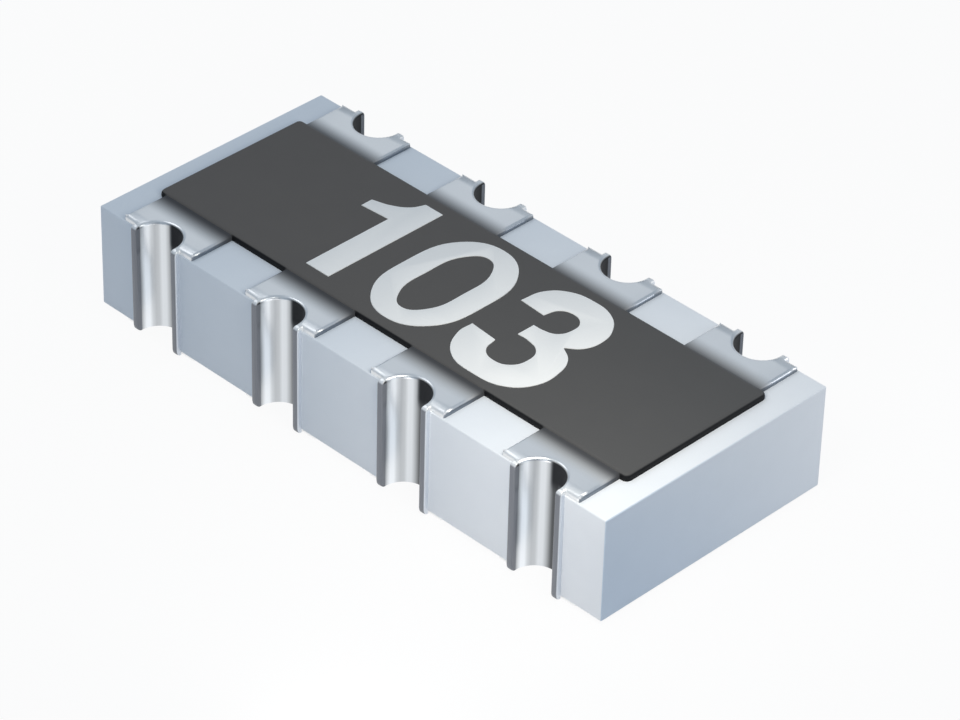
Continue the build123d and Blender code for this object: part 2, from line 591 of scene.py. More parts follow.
@dataclass(frozen=True)
class AluminaFinish(Finish):
    """Fired alumina, with painted shade on the two snapped ends, deepest low down on their near
    sides.

    Args:
        end_shade: Share of the colour that a snapped end keeps where its painted shade is deepest,
            low down on its near side.
        end_skin: Where the painted shade starts and is full, from the end face.
        end_shade_fade: Sum of Y and Z where the painted shade on an end is none and where it is
            deepest.
    """

    end_shade: Colour = (0.66, 0.745, 0.85)
    end_skin: Band = (-0.010, -0.004)
    end_shade_fade: Band = (1.96, -1.07)

    def build(self, groups: Groups) -> bpy.types.Material:
        """Makes the finished material.

        Args:
            groups: The shared node groups.

        Returns:
            The material.
        """
        surface = self.start(groups)
        board = surface.board
        x, y, z = board.split(surface.place)
        # Painted shade on the two snapped ends, darker towards their lower near corners.
        at_end = board.ramp(board.math("ABSOLUTE", x), self.end_skin, self.half)
        dull = board.times(at_end, board.ramp(board.math("ADD", y, z), self.end_shade_fade))
        surface.dress("Base Color", board.mix(dull, surface.grained, self.end_shade, Blend.TINT))
        return surface.material


@dataclass(frozen=True)
class TinFinish(Finish):
    """Plated tin: bright lands, painted reflection bands down the notch, darker rims, and painted
    shade in the groove, on the lands' side walls and next to the overcoat.

    Bands are in millimetres, apart from the patch's turn.

    Args:
        rim: Colour of the rims' front and inner faces, darker than the tin.
        cheek: Colour of the rims' outer faces.
        wall_shade: Painted shade on the upper lands' low side walls.
        coat_edge_shade: Painted shade on the tin next to the overcoat's edge.
        shade: Painted shade in the groove, just below its mouth.
        reflection_tint: Tint of the painted reflection bands.
        painted_reflections: Painted reflection bands round the notch, as brightness by the angle
            in half turns.
        bore_skin: Where the groove's colours start, from its radius.
        patch_level: Where the groove's painted shade starts, from the land's top.
        patch_turn: Where it starts round the notch, in half turns.
        rim_skin: Where the rims' colours start, from the side face.
        rim_level: How far down they start, from the land's top.
        cheek_skin: Where the cheeks' colour starts, from the rims' outer faces.
        wall_level: How far down the walls' painted shade starts, from the land's top.
        wall_skin: Where it starts, from the land's sides.
        land_skin: Where the upper land starts, from the ceramic's top.
        dish: How far the upper land sinks towards its front, in millimetres.
        dish_reach: Where it starts to sink and is lowest, from the side face.
        dish_level: Where the sinking starts, from the land's top.
        dull_rim: How dull the rims are, where the painted shades count as fully dull.
        dull_dish: How dull the sunk front is.
        metal_loss: Share of the metal's gloss that the painted shades and the dull rims and front
            take.
        shade_roughness: What the painted shades add to the roughness.
        chip: The shared sizes.
    """

    rim: Colour = (0.21, 0.22, 0.245)
    cheek: Colour = (0.74, 0.78, 0.84)
    wall_shade: Colour = (0.24, 0.27, 0.31)
    coat_edge_shade: Colour = (0.060, 0.060, 0.064)
    shade: Colour = (0.014, 0.015, 0.018)
    reflection_tint: Colour = (0.95, 0.99, 1.03)
    # Painted reflection bands round the notch: brightness by the angle, standing in for what a
    # bright bore mirrors.
    painted_reflections: tuple[tuple[float, float], ...] = (
        (0.0, 0.97),
        (0.42, 0.97),
        (0.50, 0.10),
        (0.56, 0.12),
        (0.585, 0.26),
        (0.62, 0.50),
        (0.665, 0.77),
        (0.715, 0.79),
        (0.755, 0.60),
        (0.80, 0.57),
        (0.845, 0.72),
        (0.88, 0.97),
        (0.93, 0.97),
        (0.96, 0.78),
        (1.0, 0.45),
    )
    bore_skin: Band = (0.012, 0.002)
    patch_level: Band = (-0.27, -0.16)
    patch_turn: Band = (0.62, 0.56)
    rim_skin: Band = (0.004, -0.004)
    rim_level: Band = (-0.016, -0.030)
    cheek_skin: Band = (-0.008, -0.002)
    wall_level: Band = (-0.006, -0.016)
    wall_skin: Band = (-0.010, -0.004)
    land_skin: Band = (-0.001, 0.001)
    dish: float = 0.024
    dish_reach: Band = (0.11, -0.01)
    dish_level: Band = (-0.45, -0.03)
    dull_rim: float = 0.6
    dull_dish: float = 0.6
    metal_loss: float = 0.9
    shade_roughness: float = 0.5
    chip: ChipLayout | None = None

    def paint_reflections(self, board: NodeBoard, turn: bpy.types.NodeSocket) -> bpy.types.NodeSocket:
        """Adds the painted reflection bands round the notch.

        Args:
            board: The material's board.
            turn: The angle round the notch, in half turns.

        Returns:
            Their colour.
        """
        node = board.add("ShaderNodeValToRGB")
        stops = node.color_ramp.elements
        first, *between, last = self.painted_reflections
        stops[0].position, stops[1].position = first[0], last[0]
        for at, _ in between:
            stops.new(at)
        for stop, (_, level) in zip(stops, self.painted_reflections):
            stop.color = opaque(tuple(level * share for share in self.reflection_tint))
        board.feed(node.inputs[0], turn)
        return node.outputs[0]

    def build(self, groups: Groups) -> bpy.types.Material:
        """Makes the finished material.

        Args:
            groups: The shared node groups.

        Returns:
            The material.
        """
        surface = self.start(groups)
        board, chip = surface.board, self.chip
        spot = board.group(groups.terminal, Vector=surface.place)
        across, inward, height, reach, turn, coat_shading = spot.outputs
        breadth = board.math("ABSOLUTE", across)

        in_bore = board.ramp(reach, self.bore_skin, chip.bore_radius)
        # Painted shade in the groove below its mouth, laid over the painted reflection bands.
        groove_shade = board.times(
            board.ramp(height, self.patch_level, chip.land_top), board.ramp(turn, self.patch_turn)
        )
        bore = board.mix(groove_shade, self.paint_reflections(board, turn), self.shade)
        colour = board.mix(in_bore, surface.grained, bore)

        forward = board.times(
            board.ramp(inward, self.rim_skin), board.ramp(height, self.rim_level, chip.land_top)
        )
        on_cheek = board.ramp(breadth, self.cheek_skin, chip.rim_half_width)
        colour = board.mix(forward, colour, board.mix(on_cheek, self.rim, self.cheek))

        on_land = board.ramp(height, self.land_skin, chip.top)
        # Painted shade on the upper lands' low side walls.
        on_wall = board.times(
            on_land,
            board.ramp(height, self.wall_level, chip.land_top),
            board.ramp(breadth, self.wall_skin, chip.land_half_width),
        )
        colour = board.mix(on_wall, colour, self.wall_shade)
        # Painted shade on the lands next to the overcoat's edge.
        coat_shaded = board.times(coat_shading, on_land)
        surface.dress("Base Color", board.mix(coat_shaded, colour, self.coat_edge_shade))

        dark = board.math("MAXIMUM", coat_shaded, board.times(groove_shade, in_bore))
        roughness = board.math("MULTIPLY_ADD", dark, self.shade_roughness, self.roughness)
        surface.dress("Roughness", roughness)
        sunk = board.times(
            board.ramp(inward, self.dish_reach), board.ramp(height, self.dish_level, chip.land_top)
        )
        dull = board.math("MAXIMUM", dark, board.times(forward, self.dull_rim))
        dull = board.math("MAXIMUM", dull, board.times(sunk, self.dull_dish))
        gloss = board.rest(board.times(dull, self.metal_loss))
        surface.dress("Metallic", board.times(gloss, self.metallic))
        depth = board.times(sunk, self.dish / self.relief)
        board.feed(surface.relief, board.math("SUBTRACT", surface.grain, depth))
        return surface.material


@dataclass(frozen=True)
class ResinFinish(Finish):
    """Overcoat resin, with painted shade darkening its side wall near black and painted light on
    its edge over the lands.

    Args:
        wall_shade: Painted shade on the side wall.
        edge_light: Painted light on the resin's edge over a land, grading it into the land.
        wall_level: How far down the side wall starts, from the overcoat's top.
        land_edge: Where a land under the resin starts, from the land's sides.
        chip: The shared sizes.
    """

    wall_shade: Colour = (0.004, 0.004, 0.005)
    edge_light: Colour = (0.50, 0.54, 0.60)
    wall_level: Band = (-0.006, -0.016)
    land_edge: Band = (0.01, -0.03)
    chip: ChipLayout | None = None

    def build(self, groups: Groups) -> bpy.types.Material:
        """Makes the finished material.

        Args:
            groups: The shared node groups.

        Returns:
            The material.
        """
        surface = self.start(groups)
        board, chip = surface.board, self.chip
        spot = board.group(groups.terminal, Vector=surface.place).outputs
        breadth = board.math("ABSOLUTE", spot["Across"])
        over_land = board.ramp(breadth, self.land_edge, chip.land_half_width)
        # Painted shade on the side wall, off the lands.
        below = board.ramp(spot["Height"], self.wall_level, chip.coat_top)
        on_wall = board.times(below, board.rest(over_land))
        colour = board.mix(on_wall, surface.grained, self.wall_shade)
        # Painted light on the resin's edge over the lands, where the painted shade next to the
        # edge is thin.
        edge_lit = board.times(board.rest(spot["Cover"]), over_land)
        surface.dress("Base Color", board.mix(edge_lit, colour, self.edge_light))
        return surface.material


# Mesh helpers, in millimetres


def put(name: str, data: bpy.types.ID) -> bpy.types.Object:
    """Puts a new object into the scene.

    Args:
        name: Its name.
        data: Its mesh, curve, light or camera.

    Returns:
        The object.
    """
    item = bpy.data.objects.new(name, data)
    bpy.context.scene.collection.objects.link(item)
    return item


def new_verts(result: dict[str, list]) -> list[BMVert]:
    """Returns the vertices among what an operator made."""
    return [item for item in result["geom"] if isinstance(item, BMVert)]


def middle_of(edge: BMEdge) -> Vector:
    """Returns an edge's middle."""
    return (edge.verts[0].co + edge.verts[1].co) / 2


def heights_of(edge: BMEdge) -> list[float]:
    """Returns the Z of an edge's lower and of its upper end."""
    return sorted(vert.co.z for vert in edge.verts)


def is_upright(edge: BMEdge) -> bool:
    """Says whether an edge's ends are at different heights."""
    low, high = heights_of(edge)
    return high - low > TINY


def is_ridge(edge: BMEdge) -> bool:
    """Says whether an edge is a sharp one that points outwards."""
    return edge.is_manifold and edge.is_convex and edge.calc_face_angle(0.0) > RIDGE


def round_edges(bm: BMesh, edges: Iterable[BMEdge], radius: float, segments: int) -> None:
    """Rounds some edges of a mesh.

    Args:
        bm: The mesh.
        edges: The edges to round.
        radius: The rounding's radius, in millimetres.
        segments: Faces across the rounding.
    """
    bmesh.ops.bevel(
        bm,
        geom=list(edges),
        offset=radius,
        offset_type="OFFSET",
        affect="EDGES",
        segments=segments,
        profile=0.5,
        material=-1,
        clamp_overlap=False,
    )


def raise_faces(bm: BMesh, faces: list[BMFace], rise: float) -> list[BMFace]:
    """Extrudes faces upwards.

    Args:
        bm: The mesh.
        faces: The faces.
        rise: How far up they go.

    Returns:
        The new faces on top.
    """
    grown = bmesh.ops.extrude_face_region(bm, geom=faces)
    bmesh.ops.translate(bm, vec=(0, 0, rise), verts=new_verts(grown))
    return [item for item in grown["geom"] if isinstance(item, BMFace)]


def finish_piece(
    bm: BMesh,
    name: str,
    material: bpy.types.Material,
    place: Matrix | None = None,
) -> bpy.types.Object:
    """Turns a mesh in millimetres into a piece that rides on the chip.

    Args:
        bm: The mesh, which is freed.
        name: The piece's name.
        material: Its material.
        place: Where it goes, in millimetres.

    Returns:
        The new object.
    """
    bmesh.ops.remove_doubles(bm, verts=bm.verts, dist=WELD)
    bmesh.ops.transform(bm, matrix=Matrix.Scale(MM, 4) @ (place or Matrix()), verts=bm.verts)
    bmesh.ops.recalc_face_normals(bm, faces=bm.faces)
    for face in bm.faces:
        face.smooth = True
    mesh = bpy.data.meshes.new(name)
    bm.to_mesh(mesh)
    bm.free()
    mesh.set_sharp_from_angle(angle=CREASE)
    mesh.materials.append(material)
    piece = put(name, mesh)
    piece.modifiers.new("even_shading", "WEIGHTED_NORMAL").keep_sharp = True
    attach(piece, BODY)
    log.info("%s: %d faces", name, len(mesh.polygons))
    return piece


def arc_from(bm: BMesh, start: BMVert, centre: Vector, angle: float, steps: int) -> BMVert:
    """Draws an arc of edges from a vertex.

    Args:
        bm: The mesh.
        start: The first vertex.
        centre: The arc's centre.
        angle: The turn about Z, in radians.
        steps: Edges in the arc.

    Returns:
        The last vertex.
    """
    spun = bmesh.ops.spin(
        bm, geom=[start], cent=centre, axis=(0, 0, 1), angle=angle, steps=steps, use_merge=False
    )
    return next(item for item in spun["geom_last"] if isinstance(item, BMVert))


def line_to(bm: BMesh, start: BMVert, *points: tuple[float, float]) -> BMVert:
    """Draws straight edges from a vertex through points at its height.

    Args:
        bm: The mesh.
        start: The first vertex.
        points: The next ones' X and Y.

    Returns:
        The last vertex.
    """
    for x, y in points:
        after = bm.verts.new((x, y, start.co.z))
        bm.edges.new((start, after))
        start = after
    return start


@dataclass
class Substrate:
    """The alumina block, with its snapped edges worn soft.

    Args:
        chip: The shared sizes.
        edge_radius: Of the outer edges, in millimetres.
        edge_segments: Faces across a rounded edge.
        notch_steps: Faces round a notch.
    """

    chip: ChipLayout
    edge_radius: float = 0.011
    edge_segments: int = 3
    notch_steps: int = 24

    def outline(self, bm: BMesh) -> None:
        """Draws the footprint, with its eight notches, as one closed loop.

        Args:
            bm: The mesh that it goes into.
        """
        chip = self.chip
        half_length, half_width = chip.length / 2, chip.width / 2
        first = vertex = bm.verts.new((-half_length, -half_width, chip.underside))
        for side in Side:
            y = side.value * half_width
            for step in range(chip.count):
                x = (step - (chip.count - 1) / 2) * chip.pitch * -side.value
                vertex = line_to(bm, vertex, (x + side.value * chip.notch_radius, y))
                centre = Vector((x, y, chip.underside))
                vertex = arc_from(bm, vertex, centre, -math.pi, self.notch_steps)
            vertex = line_to(bm, vertex, (-side.value * half_length, y))
            if side is Side.NEAR:
                vertex = line_to(bm, vertex, (half_length, half_width))
        bm.edges.new((vertex, first))

    def is_worn(self, edge: BMEdge) -> bool:
        """Says whether an edge is an outer one of the block, off the notches.

        Args:
            edge: The edge.

        Returns:
            True for an edge that wears soft.
        """
        middle = middle_of(edge)
        on_end = abs(abs(middle.x) - self.chip.length / 2) < TINY
        on_side = abs(abs(middle.y) - self.chip.width / 2) < TINY
        long_enough = edge.calc_length() > 2 * self.edge_radius
        at_notch = is_upright(edge) and not on_end
        return is_ridge(edge) and (on_end or on_side) and long_enough and not at_notch

    def build(self, material: bpy.types.Material) -> bpy.types.Object:
        """Makes the block and hides the plain solid.

        Args:
            material: Its finish.

        Returns:
            The piece.
        """
        bm = bmesh.new()
        self.outline(bm)
        base = bmesh.ops.contextual_create(bm, geom=bm.edges[:])["faces"]
        raise_faces(bm, base, self.chip.top - self.chip.underside)
        bmesh.ops.recalc_face_normals(bm, faces=bm.faces)
        round_edges(bm, filter(self.is_worn, bm.edges), self.edge_radius, self.edge_segments)
        piece = finish_piece(bm, "alumina_block", material)
        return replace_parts(piece, "ceramic_substrate")


@dataclass
class Overcoat:
    """The printed resin over the films, with rounded shoulders.

    Args:
        chip: The shared sizes.
        shoulder: Radius of the rounding between its top and its sides, in millimetres.
        corner: Radius of its four corners, seen from above.
        segments: Faces across a rounding.
    """

    chip: ChipLayout
    shoulder: float = 0.034
    corner: float = 0.045
    segments: int = 5

    def is_brim(self, edge: BMEdge) -> bool:
        """Says whether an edge runs round the overcoat's top."""
        return is_ridge(edge) and heights_of(edge)[0] > self.chip.coat_top - TINY

    def build(self, material: bpy.types.Material) -> bpy.types.Object:
        """Makes the coat and hides the plain solid.

        Args:
            material: Its finish.

        Returns:
            The piece.
        """
        chip, bm = self.chip, bmesh.new()
        rise = chip.coat_top - chip.top
        bmesh.ops.create_cube(bm, size=1.0)
        size = (chip.coat_length, 2 * chip.coat_half_width, rise)
        bmesh.ops.scale(bm, vec=size, verts=bm.verts)
        bmesh.ops.translate(bm, vec=(0, 0, chip.top + rise / 2), verts=bm.verts)
        round_edges(bm, filter(is_upright, bm.edges), self.corner, self.segments)
        round_edges(bm, filter(self.is_brim, bm.edges), self.shoulder, self.segments)
        piece = finish_piece(bm, "resin_overcoat", material)
        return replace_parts(piece, "protective_overcoat")


@dataclass
class Terminal:
    """A castellated terminal: two lands joined by a plated half-round groove.

    It is made in a frame of its own, whose origin is at the groove's centre on the side
    face. X runs along the side face, Y points into the chip and Z is up.

    Args:
        chip: The shared sizes.
        lip: Rounding of the upper land and of the groove's mouth, in millimetres.
        lip_room: Height of the wall that the lip takes, in lips.
        bead: Rounding down the rims' fronts and the lands' corners.
        foot: Rounding of the lower land's edges.
        fall: How far back a rim's ends lie.
        fall_rise: How far from a rim's end it starts to fall back.
        tuck: How far the upper land goes under the overcoat's shoulder.
        groove_steps: Faces round the groove.
        front_steps: Of those, how many the lip takes as one on each side of the mouth.
        edge_segments: Faces across a rounded edge.
        foot_segments: Faces across an edge of the lower land.
    """

    chip: ChipLayout
    lip: float = 0.026
    lip_room: float = 1.1
    bead: float = 0.016
    foot: float = 0.006
    fall: float = 0.0347
    fall_rise: float = 0.0486
    tuck: float = 0.012
    groove_steps: int = 48
    front_steps: int = 4
    edge_segments: int = 4
    foot_segments: int = 2

    def coat_reach(self) -> float:
        """Returns how far inwards the upper land goes."""
        return self.chip.width / 2 - self.chip.coat_half_width + self.tuck

    def levels(self) -> list[float]:
        """Lists the heights that the groove's wall is raised through.

        Returns:
            The heights, from the bottom.
        """
        chip = self.chip
        rims = [self.fall_rise, chip.land_top - self.fall_rise]
        lands = [chip.top, chip.land_top - self.lip_room * self.lip, chip.land_top]
        return [0.0, chip.underside / 2, chip.underside, *rims, *lands]

    def groove_line(self, bm: BMesh) -> None:
        """Draws the groove's plan from one rim's front to the other's.

        Args:
            bm: The mesh that it goes into.
        """
        radius, front = self.chip.bore_radius, -self.chip.rim_stand
        start = bm.verts.new((radius, front, 0.0))
        vertex = line_to(bm, start, (radius, 0.0))
        vertex = arc_from(bm, vertex, Vector(), math.pi, self.groove_steps)
        line_to(bm, vertex, (-radius, front))

    def widen_to_notch(self, verts: list[BMVert]) -> None:
        """Moves copied vertices out to the notch's wall and the rims' outer faces.

        Args:
            verts: The vertices, which stand on the groove's plan.
        """
        chip = self.chip
        for vert in verts:
            side = math.copysign(1.0, vert.co.x)
            if vert.co.y < -TINY:
                vert.co.x = side * chip.rim_half_width
            elif vert.co.y < TINY:
                vert.co.xy = (side * chip.rim_half_width, chip.land_front)
            else:
                vert.co.xy = vert.co.xy.normalized() * chip.notch_radius

    def widen_to_land(self, verts: list[BMVert], reach: float) -> None:
        """Moves copied vertices out to a land's outline.

        Args:
            verts: The vertices, which stand on the notch's wall.
            reach: How far inwards the land goes.
        """
        half, step = self.chip.land_half_width, math.pi / self.groove_steps
        corner = math.atan2(reach, half)
        for vert in verts:
            side = math.copysign(1.0, vert.co.x)
            angle = math.atan2(vert.co.y, abs(vert.co.x))
            if abs(vert.co.x) > self.chip.rim_half_width - TINY:
                vert.co.x = side * half
            elif abs(angle - corner) < step / 2:
                vert.co.xy = (side * half, reach)
            else:
                ray = vert.co.xy.normalized()
                vert.co.xy = ray * min(half / max(abs(ray.x), WELD), reach / ray.y)

    def column(self, bm: BMesh) -> None:
        """Raises the groove's wall through its levels, with the rims in front.

        Args:
            bm: The mesh, which holds the groove's plan.
        """
        self.widen_to_notch(new_verts(bmesh.ops.extrude_edge_only(bm, edges=bm.edges[:])))
        levels = self.levels()
        section = bm.faces[:]
        for low, high in zip(levels, levels[1:]):
            top = raise_faces(bm, section, high - low)
            if low > levels[0]:
                inner = [face for face in section if face.is_valid]
                bmesh.ops.delete(bm, geom=inner, context="FACES_ONLY")
            section = top
        bmesh.ops.recalc_face_normals(bm, faces=bm.faces)

    def grow_land(self, bm: BMesh, low: float, high: float, reach: float) -> None:
        """Extrudes a land out of the column's side.

        Args:
            bm: The mesh.
            low: The land's underside.
            high: Its top.
            reach: How far inwards it goes.
        """
        chip = self.chip
        lining_middle = (chip.bore_radius + chip.notch_radius) / 2
        region = []
        for face in bm.faces:
            middle = face.calc_center_median()
            on_wall = middle.xy.length > lining_middle and abs(face.normal.z) < 0.5
            if on_wall and middle.y > chip.land_front and low < middle.z < high:
                region.append(face)
        grown = bmesh.ops.extrude_face_region(bm, geom=region)
        bmesh.ops.delete(bm, geom=[face for face in region if face.is_valid], context="FACES")
        self.widen_to_land(new_verts(grown), reach)

    def merge_front(self, bm: BMesh) -> None:
        """Merges the upper land's narrow flat faces in front, for the rounding there.

        Args:
            bm: The mesh.
        """
        widest = self.front_steps * math.pi / self.groove_steps
        for side in (-1, 1):
            flat = []
            for face in bm.faces:
                middle = face.calc_center_median()
                on_top = abs(face.normal.z) > 0.5 and middle.z > self.chip.land_top - TINY
                if on_top and math.atan2(middle.y, middle.x * side) < widest:
                    flat.append(face)
            bmesh.ops.dissolve_faces(bm, faces=flat, use_verts=False)

    def is_bead(self, edge: BMEdge) -> bool:
        """Says whether an edge runs down a rim's front or a land's front corner.

        Args:
            edge: The edge.

        Returns:
            True for such an edge.
        """
        chip, middle = self.chip, middle_of(edge)
        on_rim = middle.y < TINY - chip.rim_stand
        beside = abs(middle.x) > chip.land_half_width - TINY
        at_corner = beside and middle.y < chip.land_front + TINY
        return is_ridge(edge) and is_upright(edge) and (on_rim or at_corner)

    def is_lip(self, edge: BMEdge) -> bool:
        """Says whether an edge runs round the upper land's top, clear of the overcoat.

        Args:
            edge: The edge.

        Returns:
            True for such an edge.
        """
        low = heights_of(edge)[0]
        inmost = min(vert.co.y for vert in edge.verts)
        clear = inmost < self.coat_reach() - TINY
        return is_ridge(edge) and low > self.chip.land_top - TINY and clear

    def round_off(self, bm: BMesh) -> None:
        """Rounds the edges that show, off the ceramic and off the overcoat.

        Args:
            bm: The mesh.
        """
        round_edges(bm, filter(self.is_bead, bm.edges), self.bead, self.edge_segments)
        above = list(filter(self.is_lip, bm.edges))
        below = [edge for edge in filter(is_ridge, bm.edges) if heights_of(edge)[1] < TINY]
        round_edges(bm, above, self.lip, self.edge_segments)
        below = [edge for edge in below if edge.is_valid]
        round_edges(bm, below, self.foot, self.foot_segments)

    def fall_back(self, bm: BMesh) -> None:
        """Draws the rims' ends back towards the side face, above and below.

        Args:
            bm: The mesh.
        """
        keep = 1.0 - self.fall / self.chip.rim_stand
        for vert in bm.verts:
            nearest_end = min(vert.co.z, self.chip.land_top - vert.co.z)
            if vert.co.y < 0.0 and nearest_end < self.fall_rise:
                share = 1.0 - max(nearest_end, 0.0) / self.fall_rise
                vert.co.y *= keep + (1.0 - keep) * math.sqrt(1.0 - share**2)

    def build_one(self, number: int, material: bpy.types.Material) -> bpy.types.Object:
        """Makes one terminal in place of its plain tin.

        Args:
            number: The terminal's number.
            material: Its finish.

        Returns:
            The piece.
        """
        chip, bm = self.chip, bmesh.new()
        self.groove_line(bm)
        self.column(bm)
        self.grow_land(bm, chip.top, chip.land_top, self.coat_reach())
        self.grow_land(bm, 0.0, chip.underside, chip.foot_reach)
        bmesh.ops.remove_doubles(bm, verts=bm.verts, dist=WELD)
        bmesh.ops.recalc_face_normals(bm, faces=bm.faces)
        self.merge_front(bm)
        self.round_off(bm)
        self.fall_back(bm)
        piece = finish_piece(bm, f"terminal_{number}", material, chip.place(number))
        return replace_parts(piece, f"tin_termination_{number}")

    def build(self, material: bpy.types.Material) -> list[bpy.types.Object]:
        """Makes all the terminals and returns them."""
        return [self.build_one(number, material) for number in range(1, 2 * self.chip.count + 1)]


Outline = tuple[tuple[float, float, Bend], ...]


def through(bend: Bend, *points: tuple[float, float]) -> Outline:
    """Returns points that an outline passes in one way."""
    return tuple((x, y, bend) for x, y in points)


def oval(x: float, y: float, half_x: float, half_y: float) -> Outline:
    """Returns a squarish oval.

    Args:
        x: Its centre's X.
        y: Its centre's Y.
        half_x: Half its width.
        half_y: Half its height.

    Returns:
        Its eight points, anticlockwise from the right.
    """
    shoulder = 0.745  # share of each half on the diagonals, 0.707 being an ellipse
    turns = ((1, 0), (shoulder, shoulder), (0, 1), (-shoulder, shoulder))
    points = turns + tuple((-a, -b) for a, b in turns)
    return through(Bend.CURVE, *((x + a * half_x, y + b * half_y) for a, b in points))


@dataclass(frozen=True)
class Digit:
    """One digit on the overcoat.

    Args:
        name: The digit in words.
        outlines: Its outer line and any inner one, closed, in millimetres on the chip.
    """

    name: str
    outlines: tuple[Outline, ...]


ONE = (
    *through(Bend.CORNER, (-0.697, -0.555), (-0.697, 0.572), (-0.870, 0.572)),
    *through(Bend.CURVE, (-0.920, 0.470), (-1.035, 0.385)),
    *through(Bend.CORNER, (-1.185, 0.335), (-1.185, 0.232), (-0.925, 0.250), (-0.925, -0.555)),
)
THREE = (
    *through(Bend.CORNER, (0.395, -0.215)),
    *through(Bend.CURVE, (0.400, -0.360), (0.545, -0.570), (0.810, -0.625), (1.070, -0.570)),
    *through(Bend.CURVE, (1.205, -0.400), (1.215, -0.200), (1.150, -0.040)),
    *through(Bend.CORNER, (1.030, 0.040)),
    *through(Bend.CURVE, (1.130, 0.130), (1.165, 0.290), (1.110, 0.450), (0.980, 0.560)),
    *through(Bend.CURVE, (0.795, 0.590), (0.600, 0.550), (0.465, 0.420)),
    *through(Bend.CORNER, (0.430, 0.230), (0.665, 0.215)),
    *through(Bend.CURVE, (0.700, 0.330), (0.800, 0.375), (0.905, 0.330), (0.930, 0.235)),
    *through(Bend.CURVE, (0.890, 0.125), (0.790, 0.085)),
    *through(Bend.CORNER, (0.700, 0.082), (0.700, -0.075)),
    *through(Bend.CURVE, (0.800, -0.075), (0.925, -0.125), (0.965, -0.245), (0.920, -0.370)),
    *through(Bend.CURVE, (0.805, -0.415), (0.680, -0.365)),
    *through(Bend.CORNER, (0.640, -0.235)),
)


@dataclass
class ValueCode:
    """The value code, three plain digits of raised ink.

    Args:
        chip: The shared sizes.
        ink: The ink's height above the overcoat, in millimetres.
        edge: Rounding of the ink's edge.
        edge_segments: Faces across that rounding.
        curve_steps: Edges from one point of an outline to the next.
        flatness: Angle in radians up to which neighbouring faces are merged.
        digits: The digits.
    """

    chip: ChipLayout
    ink: float = 0.006
    edge: float = 0.004
    edge_segments: int = 2
    curve_steps: int = 8
    flatness: float = 0.02
    digits: tuple[Digit, ...] = (
        Digit("one", (ONE,)),
        Digit("zero", (oval(-0.077, -0.016, 0.389, 0.588), oval(-0.080, -0.008, 0.184, 0.430))),
        Digit("three", (THREE,)),
    )

    def plate(self, digit: Digit) -> bpy.types.Mesh:
        """Makes a flat plate with a digit's outlines, half above Z 0 and half below.

        Args:
            digit: Its name and outlines.

        Returns:
            The plate's mesh.
        """
        curve = bpy.data.curves.new(digit.name, "CURVE")
        curve.dimensions = "2D"
        curve.fill_mode = "BOTH"
        curve.resolution_u = self.curve_steps
        curve.extrude = self.ink / 2
        for outline in digit.outlines:
            spline = curve.splines.new("BEZIER")
            spline.bezier_points.add(len(outline) - 1)
            spline.use_cyclic_u = True
            for point, (x, y, bend) in zip(spline.bezier_points, outline):
                point.co = (x, y, 0.0)
                point.handle_left_type = point.handle_right_type = bend.value
        holder = put(digit.name, curve)
        bpy.context.view_layer.update()
        graph = bpy.context.evaluated_depsgraph_get()
        mesh = bpy.data.meshes.new_from_object(holder.evaluated_get(graph))
        bpy.data.objects.remove(holder)
        return mesh

    def build_one(self, digit: Digit, material: bpy.types.Material) -> bpy.types.Object:
        """Makes one raised digit.

        Args:
            digit: Its name and outlines.
            material: The ink.

        Returns:
            The piece.
        """
        plate, bm = self.plate(digit), bmesh.new()
        bm.from_mesh(plate)
        bpy.data.meshes.remove(plate)
        bmesh.ops.remove_doubles(bm, verts=bm.verts, dist=TINY)
        bmesh.ops.dissolve_limit(bm, angle_limit=self.flatness, verts=bm.verts, edges=bm.edges)
        bmesh.ops.recalc_face_normals(bm, faces=bm.faces)
        brim = [edge for edge in filter(is_ridge, bm.edges) if heights_of(edge)[0] > 0]
        round_edges(bm, brim, self.edge, self.edge_segments)
        lift = Matrix.Translation((0, 0, self.chip.coat_top + self.ink / 2))
        return finish_piece(bm, f"code_{digit.name}", material, lift)

    def build(self, material: bpy.types.Material) -> list[bpy.types.Object]:
        """Makes the three digits and returns them."""
        return [self.build_one(digit, material) for digit in self.digits]


@dataclass(frozen=True)
class Lamp:
    """A square softbox that faces the chip.

    Args:
        name: The lamp's name.
        at: Its place, in millimetres.
        size: Its side, in millimetres.
        glow: Brightness of its face.
        colour: Colour of its light.
    """

    name: str
    at: tuple[float, float, float]
    size: float
    glow: float
    colour: Colour

    def hang(self) -> None:
        """Hangs the lamp, out of the camera's sight."""
        light = bpy.data.lights.new(self.name, "AREA")
        light.shape = "SQUARE"
        light.size = self.size * MM
        light.energy = self.glow * math.pi**2 * light.size**2
        light.color = self.colour
        holder = put(self.name, light)
        holder.location = Vector(self.at) * MM
        holder.rotation_mode = "QUATERNION"
        holder.rotation_quaternion = (-Vector(self.at)).to_track_quat("-Z", "Y")
        holder.visible_camera = False


